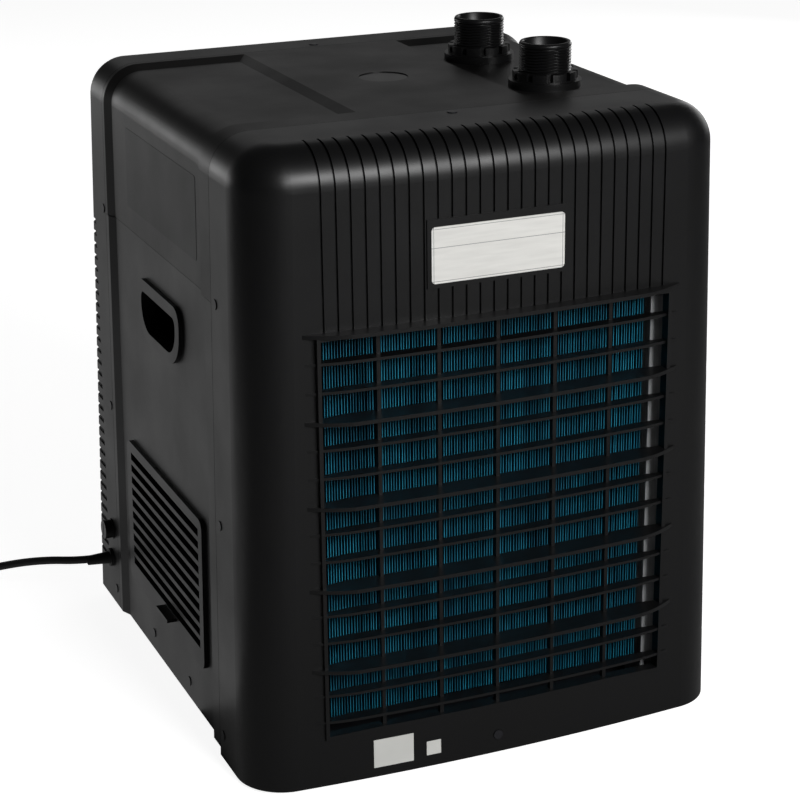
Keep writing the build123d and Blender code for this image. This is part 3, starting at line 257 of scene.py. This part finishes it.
def smoked_lens():
    """Smoked acrylic, cast: nearly black, with a hard mirror gloss."""
    made, tree, skin, place = material("acrylic_smoked", "#120708", 0.08)
    haze = noise(tree, place, 20.0, 2.0)
    rough = span(tree, (haze, "Fac"), 0.3, 0.7, 0.1, 0.06)
    tree.links.new(rough.outputs["Result"], skin.inputs["Roughness"])
    return made


lens = smoked_lens()

finishes = {
    abs_housing: ["front_cover", "left_side_panel", "right_side_panel"],
    abs_top: ["top_cover"],
    abs_rear: ["rear_cover"],
    abs_glossy: ["inlet_fitting", "outlet_fitting", "inlet_lock_ring", "outlet_lock_ring", "fuse_holder",
                 "fuse_cap", "gland_nut", "fan_rotor", "compressor_terminal_cover", "controller_box"],
    black_steel: ["base_plate", "front_cover_screws", "panel_screws", "rear_cover_screws"],
    rubber: ["feet", "inlet_gasket", "outlet_gasket", "inlet_hose", "outlet_hose", "compressor_mounts",
             "cord_gland", "plug_body", "power_cord", "cord_coil"],
    grey_plastic: ["heat_exchanger_tank", "tank_lid"],
    galvanised: ["condenser_end_plates", "fan_shroud", "fan_shaft", "fan_bracket", "temperature_probe",
                 "tank_strap"],
    copper: ["condenser_return_bends", "discharge_line", "liquid_line", "filter_drier", "capillary_tube",
             "suction_line"],
    titanium: ["evaporator_coil"],
    teal_fin: ["condenser_fins"],
    compressor_paint: ["fan_motor", "compressor"],
    key_plastic: ["controller_fascia", "set_button", "up_button", "down_button"],
    lens: ["display_lens"],
    board: ["control_board"],
    plate_foil: ["rating_plate"],
    sticker: ["front_stickers"],
    dark_sticker: ["side_label"],
    nickel: ["plug_pins"],
}
for finish, names in finishes.items():
    for name in names:
        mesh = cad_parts[name].data
        mesh.materials.clear()
        mesh.materials.append(finish)


def piece(name, verts, faces, finish, body="housing", smooth=True):
    """A mesh piece in metres from points in millimetres, riding on a body."""
    mesh = bpy.data.meshes.new(name)
    mesh.from_pydata((np.asarray(verts, float) * MM).tolist(), [], np.asarray(faces).tolist())
    mesh.polygons.foreach_set("use_smooth", np.full(len(mesh.polygons), smooth))
    mesh.materials.append(finish)
    mesh.update()
    made = bpy.data.objects.new(name, mesh)
    bpy.context.scene.collection.objects.link(made)
    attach(made, body)
    return made


def ring_faces(rows, columns):
    """Quads between neighbouring points of a rows x columns grid, closed round both ways."""
    r, c = np.meshgrid(np.arange(rows), np.arange(columns), indexing="ij")
    below, right = (r + 1) % rows, (c + 1) % columns
    row, next_row = r * columns, below * columns
    return np.stack([row + c, row + right, next_row + right, next_row + c], -1).reshape(-1, 4)


# Condenser: thin upright fins, seen edge-on through the grille; each leans a little at its front edge
FIN_LEFT, FIN_RIGHT, FIN_PITCH, FIN_T = -148.0, 137.0, 2.3, 0.45
FIN_FRONT, FIN_BACK, COND_LOW, COND_HIGH = -184.0, -145.0, 48.0, 356.0
FIN_LEAN = 0.25


def condenser_fin_pack():
    """Boxes side by side: x is the fin's place plus its thickness, plus its lean at the front."""
    x = np.arange(FIN_LEFT, FIN_RIGHT, FIN_PITCH)
    rng = np.random.default_rng(7)
    lean = rng.uniform(-FIN_LEAN, FIN_LEAN, len(x))
    corner = np.array([[i, j, k] for k in (0, 1) for j in (0, 1) for i in (0, 1)], float)
    points = np.empty((len(x), 8, 3))
    points[:, :, 0] = x[:, None] + corner[:, 0] * FIN_T + lean[:, None] * (1 - corner[:, 1])
    points[:, :, 1] = FIN_FRONT + corner[:, 1] * (FIN_BACK - FIN_FRONT)
    points[:, :, 2] = COND_LOW + corner[:, 2] * (COND_HIGH - COND_LOW)
    box_faces = np.array([
        [0, 2, 3, 1], [4, 5, 7, 6], [0, 1, 5, 4], [2, 6, 7, 3], [0, 4, 6, 2], [1, 3, 7, 5]])
    faces = (box_faces[None] + 8 * np.arange(len(x))[:, None, None]).reshape(-1, 4)
    made = piece("condenser_fin_pack", points.reshape(-1, 3), faces, teal_fin, smooth=False)
    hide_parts("condenser_fins")
    return made


condenser_fin_pack()

# Hose fittings: pipe thread above a collar, hose tail below
FITTING_X, INLET_Y, OUTLET_Y = 110.0, 64.0, -60.0
THREAD_R, THREAD_PITCH, THREAD_DEPTH = 20.95, 2.309, 1.35
FITTING_TOP, COLLAR_HIGH, COLLAR_LOW, TAIL_LOW = 537.0, 496.6, 491.6, 464.0
FITTING_BORE, COLLAR_R, TAIL_R, TAIL_BORE = 17.5, 28.0, 12.5, 9.5
# Points round the axis, and rows in one pitch of the thread
AROUND = 72
THREAD_STEPS = 8
THREAD_FADE_HIGH, THREAD_FADE_LOW = 2.5, 1.5
FLANK_GAIN, CREST_FLAT = 1.25, 0.12
BARB_COUNT, BARB_PITCH, BARB_RISE, BARB_END, BARB_DEPTH = 4, 6.0, 4.8, 5.2, 1.2
RIM_PROFILE = [
    (THREAD_R - 0.3, FITTING_TOP - 1.2),
    (THREAD_R - 0.9, FITTING_TOP - 0.2),
    (THREAD_R - 1.3, FITTING_TOP),
    (FITTING_BORE + 0.6, FITTING_TOP),
    (FITTING_BORE, FITTING_TOP - 0.6),
    (FITTING_BORE, COLLAR_HIGH + 0.5),
    (TAIL_BORE, COLLAR_HIGH),
]
SPLIT_ANGLE = math.radians(50)


def tail_profile():
    """Radius and height of the hose tail, a saw wave of barbs, and of the collar above it."""
    profile = [(TAIL_BORE, TAIL_LOW)]
    for k in range(BARB_COUNT):
        foot = TAIL_LOW + BARB_PITCH * k
        profile += [(TAIL_R - BARB_DEPTH, foot), (TAIL_R, foot + BARB_RISE),
                    (TAIL_R - BARB_DEPTH, foot + BARB_END)]
    return profile + [(TAIL_R - BARB_DEPTH, COLLAR_LOW), (COLLAR_R, COLLAR_LOW), (COLLAR_R, COLLAR_HIGH)]


def turned(profile):
    """A profile's radii and heights, each repeated round the axis."""
    return np.array(profile).T[:, :, None] * np.ones(AROUND)


def threaded_fitting(name, replaced, y):
    """A revolved wall whose upper outside is r - depth * triangle wave of (height / pitch - turn)."""
    heights = np.arange(COLLAR_HIGH, FITTING_TOP - THREAD_FADE_LOW, THREAD_PITCH / THREAD_STEPS)
    angle = np.linspace(0, 2 * np.pi, AROUND, endpoint=False)
    h, a = np.meshgrid(heights, angle, indexing="ij")
    wave = np.abs(((h / THREAD_PITCH - a / (2 * np.pi)) % 1.0) * 2 - 1)
    fade = (np.clip((FITTING_TOP - THREAD_FADE_HIGH - h) / THREAD_FADE_HIGH, 0, 1)
            * np.clip((h - COLLAR_HIGH) / THREAD_FADE_LOW, 0, 1))
    thread = THREAD_R - THREAD_DEPTH * np.clip(wave * FLANK_GAIN - CREST_FLAT, 0, 1) * fade
    tail, rim = turned(tail_profile()), turned(RIM_PROFILE)
    radius = np.vstack([tail[0], thread, rim[0]])
    height = np.vstack([tail[1], h, rim[1]])
    points = np.stack([FITTING_X + radius * np.cos(angle), y + radius * np.sin(angle), height], -1)
    made = piece(name, points.reshape(-1, 3), ring_faces(*radius.shape), abs_glossy)
    made.modifiers.new("edges", "EDGE_SPLIT").split_angle = SPLIT_ANGLE
    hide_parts(replaced)
    return made


threaded_fitting("inlet_fitting_threaded", "inlet_fitting", INLET_Y)
threaded_fitting("outlet_fitting_threaded", "outlet_fitting", OUTLET_Y)

# Power lead: out of the gland, down to the floor and into its put-away coil
LEAD_D = 7.2
LEAD_ROUTE = [
    (-190.0, 177.0, 51.71),
    (-228.99, 177.0, 52.50),
    (-262.0, 208.0, 47.0),
    (-296.0, 242.0, 33.0),
    (-337.0, 264.0, 18.5),
    (-378.0, 264.0, 8.0),
    (-411.0, 240.0, 3.6),
    (-423.0, 205.0, 3.6),
]
COIL_R = 43.0
COIL_STUB = 30.0
COIL_TURN = 5 * 360 + 20
COIL_TAIL = 60.0
COIL_POINTS = 20
PLUG_Z = 18.0
IN_PLUG = 8.0
TAIL_AT = (0.3, 0.7)
LEAD_STEPS = 8
LEAD_ROUND = 5
# Turns at which the lead steps across by one diameter, and at which it climbs to the second layer
STEP_TURNS = [0, 0.72, 0.98, 1.72, 1.98, 3.1, 3.4, 4.1, 4.4, 6]
STEPS = [1, 1, 0, 0, -1, -1, 0, 0, 1, 1]
CLIMB_TURNS = [0, 2.3, 2.7, 6]
LAYERS = [0, 0, 1, 1]


def lead_points():
    """The route, then turns whose radius and height step by one diameter, then the tail."""
    route = [np.array(p) for p in LEAD_ROUTE]
    heading = route[-1] - route[-2]
    heading = heading / np.linalg.norm(heading)
    across = np.array([-heading[1], heading[0], 0.0])
    entry = route[-1] + heading * COIL_STUB
    centre = entry + across * (COIL_R + LEAD_D)
    start = math.atan2(-across[1], -across[0])
    swept = np.linspace(0, math.radians(COIL_TURN), int(COIL_TURN / 360 * COIL_POINTS) + 1)
    turn = swept / (2 * np.pi)
    level = np.interp(turn, CLIMB_TURNS, LAYERS)
    radius = COIL_R + LEAD_D * np.interp(turn, STEP_TURNS, STEPS)
    angle = start + swept
    coil = np.stack([centre[0] + radius * np.cos(angle), centre[1] + radius * np.sin(angle),
                     LEAD_D / 2 + LEAD_D * level], -1)
    away = np.array([-math.sin(angle[-1]), math.cos(angle[-1]), 0.0])
    along = [TAIL_AT[0] * COIL_TAIL, TAIL_AT[1] * COIL_TAIL, COIL_TAIL + IN_PLUG]
    tail = coil[-1] + np.outer(along, away)
    tail[1:, 2] = PLUG_Z
    return np.vstack([route, coil, tail])


def power_lead():
    """One NURBS spline through the route as control points, bevelled to the lead's diameter."""
    points = lead_points() * MM
    curve = bpy.data.curves.new("power_lead", "CURVE")
    curve.dimensions = "3D"
    line = curve.splines.new("NURBS")
    line.points.add(len(points) - 1)
    line.points.foreach_set("co", np.hstack([points, np.ones((len(points), 1))]).ravel())
    line.order_u = 3
    line.use_endpoint_u = True
    line.resolution_u = LEAD_STEPS
    curve.bevel_depth = LEAD_D / 2 * MM
    curve.bevel_resolution = LEAD_ROUND
    curve.use_fill_caps = True
    curve.materials.append(rubber)
    made = bpy.data.objects.new("power_lead", curve)
    bpy.context.scene.collection.objects.link(made)
    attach(made, "housing")
    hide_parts("power_cord", "cord_coil")
    return made


lead = power_lead()


# Stage, light and camera
FLOOR_GLOW = 0.9
FLOOR_TO_LIGHT = "#a8a8a8"
FLOOR_HALF = 6


def backdrop():
    """White to the camera apart from its shadow, and a plain grey table to every other ray."""
    made = bpy.data.materials.new("studio_paper")
    made.use_nodes = True
    tree = made.node_tree
    tree.nodes.clear()
    ray = node(tree, "ShaderNodeLightPath")
    paper = node(tree, "ShaderNodeBsdfDiffuse", inputs={"Color": linear("#c8c8c8")})
    glow = node(tree, "ShaderNodeEmission", inputs={"Color": (1, 1, 1, 1), "Strength": FLOOR_GLOW})
    white = node(tree, "ShaderNodeAddShader", links={0: (paper, "BSDF"), 1: (glow, "Emission")})
    table = node(tree, "ShaderNodeBsdfDiffuse", inputs={"Color": linear(FLOOR_TO_LIGHT)})
    seen = node(tree, "ShaderNodeMixShader", links={
        0: (ray, "Is Camera Ray"), 1: (table, "BSDF"), 2: (white, "Shader")})
    node(tree, "ShaderNodeOutputMaterial", links={"Surface": (seen, "Shader")})
    mesh = bpy.data.meshes.new("floor")
    corners = [(x * FLOOR_HALF, y * FLOOR_HALF, 0) for x, y in ((-1, -1), (1, -1), (1, 1), (-1, 1))]
    mesh.from_pydata(corners, [], [(0, 1, 2, 3)])
    mesh.materials.append(made)
    floor = bpy.data.objects.new("floor", mesh)
    bpy.context.scene.collection.objects.link(floor)
    return floor


backdrop()

SKY_LIGHT = 0.05
world = bpy.data.worlds.new("studio")
bpy.context.scene.world = world
world.use_nodes = True
sky = world.node_tree
sky.nodes.clear()
ray = node(sky, "ShaderNodeLightPath")
seen = node(sky, "ShaderNodeBackground", inputs={"Color": (1, 1, 1, 1), "Strength": 1.0})
light = node(sky, "ShaderNodeBackground", inputs={"Color": (1, 1, 1, 1), "Strength": SKY_LIGHT})
mix = node(sky, "ShaderNodeMixShader", links={
    0: (ray, "Is Camera Ray"), 1: (light, "Background"), 2: (seen, "Background")})
node(sky, "ShaderNodeOutputWorld", links={"Surface": (mix, "Shader")})


MIDDLE = (0, 0, 0.25)


def area_lamp(name, place, aim, width, height, power):
    """A soft box at place, turned to aim, both in metres."""
    data = bpy.data.lights.new(name, "AREA")
    data.shape = "RECTANGLE"
    data.size = width
    data.size_y = height
    data.energy = power
    lamp = bpy.data.objects.new(name, data)
    lamp.location = place
    lamp.rotation_euler = (Vector(aim) - Vector(place)).to_track_quat("-Z", "Y").to_euler()
    bpy.context.scene.collection.objects.link(lamp)
    return lamp


def lamp_at(azimuth, elevation, distance):
    """A place round the object's middle from an azimuth and an elevation in degrees."""
    a, e = math.radians(azimuth), math.radians(elevation)
    return (math.sin(a) * math.cos(e) * distance, -math.cos(a) * math.cos(e) * distance,
            MIDDLE[2] + math.sin(e) * distance)


area_lamp("soft_box_front", lamp_at(12, 27, 2.2), MIDDLE, width=1.0, height=0.5, power=42)
area_lamp("soft_box_left", lamp_at(-150, 2, 3.0), MIDDLE, width=1.8, height=0.5, power=9)
table_glow = area_lamp("light_table_left", (-0.60, 0.80, 0.004), (-0.60, 0.80, 1.0),
                       width=0.9, height=1.7, power=1.7)
table_glow.visible_camera = False
area_lamp("soft_box_back", lamp_at(160, 26, 3.0), MIDDLE, width=2.4, height=1.0, power=2.6)
area_lamp("soft_box_right", lamp_at(125, 10, 3.0), MIDDLE, width=1.6, height=1.0, power=12)

# The photograph's view, worked out from the housing's edges
CAMERA_AT = Vector((-0.67118, -1.60437, 0.85952))
CAMERA_AZ, CAMERA_EL, CAMERA_ROLL = math.radians(-22.91), math.radians(19.88), math.radians(-0.636)
FOCAL_PX, FRAME_PX, SENSOR = 2186.42, 800.0, 36.0

camera = bpy.data.cameras.new("camera")
camera.sensor_width = SENSOR
camera.lens = FOCAL_PX / FRAME_PX * SENSOR
camera.clip_start = 0.05
toward = Vector((math.sin(CAMERA_AZ) * math.cos(CAMERA_EL), -math.cos(CAMERA_AZ) * math.cos(CAMERA_EL),
                 math.sin(CAMERA_EL)))
level_right = (-toward).cross(Vector((0, 0, 1))).normalized()
level_up = level_right.cross(-toward)
right = level_right * math.cos(CAMERA_ROLL) + level_up * math.sin(CAMERA_ROLL)
up = level_up * math.cos(CAMERA_ROLL) - level_right * math.sin(CAMERA_ROLL)
viewer = bpy.data.objects.new("camera", camera)
viewer.matrix_world = Matrix.Translation(CAMERA_AT) @ Matrix((right, up, toward)).transposed().to_4x4()
bpy.context.scene.collection.objects.link(viewer)
bpy.context.scene.camera = viewer
bpy.context.scene.view_settings.view_transform = "Standard"
